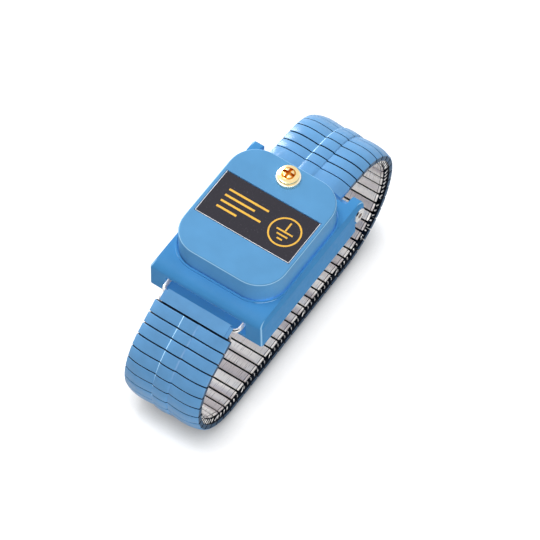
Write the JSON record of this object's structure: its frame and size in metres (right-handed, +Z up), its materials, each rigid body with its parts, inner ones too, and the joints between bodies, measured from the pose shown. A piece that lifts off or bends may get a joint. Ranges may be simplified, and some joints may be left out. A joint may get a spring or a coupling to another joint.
{
  "type": "esd wrist strap",
  "caption": "Cordless ESD wrist strap: a blue plastic case with a ground terminal screw and a dark label, on a sprung metal expansion band of crowned outer and flat inner links.",
  "frame": {"origin": "middle of the footprint, on the surface that the lower run of the band lies on", "axes": "+X across the band, +Y along the case towards its terminal screw, +Z up out of the cover"},
  "size_m": [0.0344, 0.0904, 0.049],
  "materials": {
    "case_blue": "satin",
    "label_dark": "matt",
    "gold_metal": "polished, gold plated",
    "board_green": "satin",
    "resistor_tan": "gloss",
    "band_blue": "satin",
    "bright_steel": "polished",
    "brushed_steel": "brushed"
  },
  "bodies": {
    "case": {"case_base": "case_blue", "case_cover": "case_blue", "label_plate": "label_dark", "back_plate": "brushed_steel", "case_screws": "brushed_steel", "terminal_collar": "gold_metal", "threaded_bushing": "gold_metal", "terminal_tab": "brushed_steel", "circuit_board": "board_green", "series_resistors": "resistor_tan", "contact_spring": "gold_metal", "far_hinge_pin": "bright_steel"},
    "terminal_screw": {"terminal_screw": "gold_metal"},
    "near_end": {"near_wire_bail": "bright_steel", "near_end_link": "band_blue", "near_end_staples": "brushed_steel"},
    "segment_01": {"outer_links_01": "band_blue", "inner_links_01": "brushed_steel", "link_clips_01": "brushed_steel"},
    "segment_02": {"outer_links_02": "band_blue", "inner_links_02": "brushed_steel", "link_clips_02": "brushed_steel"},
    "segment_03": {"outer_links_03": "band_blue", "inner_links_03": "brushed_steel", "link_clips_03": "brushed_steel"},
    "segment_04": {"outer_links_04": "band_blue", "inner_links_04": "brushed_steel", "link_clips_04": "brushed_steel"},
    "lower_run_near": {"outer_links_05": "band_blue", "inner_links_05": "brushed_steel", "link_clips_05": "brushed_steel", "outer_links_06": "band_blue", "inner_links_06": "brushed_steel", "link_clips_06": "brushed_steel"},
    "lower_run_far": {"outer_links_07": "band_blue", "inner_links_07": "brushed_steel", "link_clips_07": "brushed_steel"},
    "segment_08": {"outer_links_08": "band_blue", "inner_links_08": "brushed_steel", "link_clips_08": "brushed_steel"},
    "segment_09": {"outer_links_09": "band_blue", "inner_links_09": "brushed_steel", "link_clips_09": "brushed_steel"},
    "segment_10": {"outer_links_10": "band_blue", "inner_links_10": "brushed_steel", "link_clips_10": "brushed_steel"},
    "segment_11": {"outer_links_11": "band_blue", "inner_links_11": "brushed_steel", "link_clips_11": "brushed_steel"},
    "segment_12": {"outer_links_12": "band_blue", "inner_links_12": "brushed_steel", "link_clips_12": "brushed_steel"},
    "far_end": {"far_end_link": "band_blue", "far_end_staples": "brushed_steel"}
  },
  "joints": [
    {"name": "terminal_screw_turn", "type": "hinge", "parent": "case", "child": "terminal_screw", "pos_m": [0, 0.01259, 0.04625], "axis": [0, 0, 1], "continuous": true},
    {"name": "near_end_hinge", "type": "hinge", "parent": "case", "child": "near_end", "pos_m": [0, -0.02281, 0.03555], "axis": [1, 0, 0], "range_deg": [-6, 6], "stiffness_Nm_per_rad": 0.05},
    {"name": "near_stretch_1", "type": "slide", "parent": "near_end", "child": "segment_01", "axis": [0, -0.829, -0.5592], "range_m": [0, 0.00059331], "stiffness_N_per_m": 1500},
    {"name": "near_stretch_2", "type": "slide", "parent": "segment_01", "child": "segment_02", "axis": [0, -0.6451, -0.7641], "range_m": [0, 0.00063783], "stiffness_N_per_m": 1500},
    {"name": "band_stretch", "type": "slide", "parent": "segment_02", "child": "segment_03", "axis": [0, 0.1553, -0.9879], "range_m": [0, 0.0009], "stiffness_N_per_m": 1500},
    {"name": "near_stretch_4", "type": "slide", "parent": "segment_03", "child": "segment_04", "axis": [0, 0.8484, -0.5293], "range_m": [0, 0.00090001], "stiffness_N_per_m": 1500},
    {"name": "near_bend_flex", "type": "hinge", "parent": "segment_04", "child": "lower_run_near", "pos_m": [0, -0.02428, 0.00275], "axis": [1, 0, 0], "range_deg": [-6, 6], "stiffness_Nm_per_rad": 0.01},
    {"name": "far_end_hinge", "type": "hinge", "parent": "case", "child": "far_end", "pos_m": [0, 0.01949, 0.03555], "axis": [1, 0, 0], "range_deg": [-6, 6], "stiffness_Nm_per_rad": 0.05},
    {"name": "far_stretch_1", "type": "slide", "parent": "far_end", "child": "segment_12", "axis": [0, 0.9914, -0.1305], "range_m": [0, 0.00058624], "stiffness_N_per_m": 1500},
    {"name": "far_stretch_2", "type": "slide", "parent": "segment_12", "child": "segment_11", "axis": [0, 0.8705, -0.4922], "range_m": [0, 0.00060067], "stiffness_N_per_m": 1500},
    {"name": "far_stretch_3", "type": "slide", "parent": "segment_11", "child": "segment_10", "axis": [0, 0.1673, -0.9859], "range_m": [0, 0.00071603], "stiffness_N_per_m": 1500},
    {"name": "far_stretch_4", "type": "slide", "parent": "segment_10", "child": "segment_09", "axis": [0, -0.4876, -0.8731], "range_m": [0, 0.00083463], "stiffness_N_per_m": 1500},
    {"name": "far_stretch_5", "type": "slide", "parent": "segment_09", "child": "segment_08", "axis": [0, -0.9076, -0.4198], "range_m": [0, 0.00090001], "stiffness_N_per_m": 1500},
    {"name": "far_bend_flex", "type": "hinge", "parent": "segment_08", "child": "lower_run_far", "pos_m": [0, 0.01802, 0.00275], "axis": [1, 0, 0], "range_deg": [-6, 6], "stiffness_Nm_per_rad": 0.01}
  ],
  "couplings": [
    {"joint": "far_end_hinge", "follows": "near_end_hinge", "ratio": 1},
    {"joint": "near_bend_flex", "follows": "near_end_hinge", "ratio": -1},
    {"joint": "far_bend_flex", "follows": "near_end_hinge", "ratio": -1},
    {"joint": "near_stretch_1", "follows": "band_stretch", "ratio": 0.65922},
    {"joint": "near_stretch_2", "follows": "band_stretch", "ratio": 0.70868},
    {"joint": "near_stretch_4", "follows": "band_stretch", "ratio": 1},
    {"joint": "far_stretch_1", "follows": "band_stretch", "ratio": 0.65136},
    {"joint": "far_stretch_2", "follows": "band_stretch", "ratio": 0.6674},
    {"joint": "far_stretch_3", "follows": "band_stretch", "ratio": 0.79557},
    {"joint": "far_stretch_4", "follows": "band_stretch", "ratio": 0.92736},
    {"joint": "far_stretch_5", "follows": "band_stretch", "ratio": 1}
  ]
}
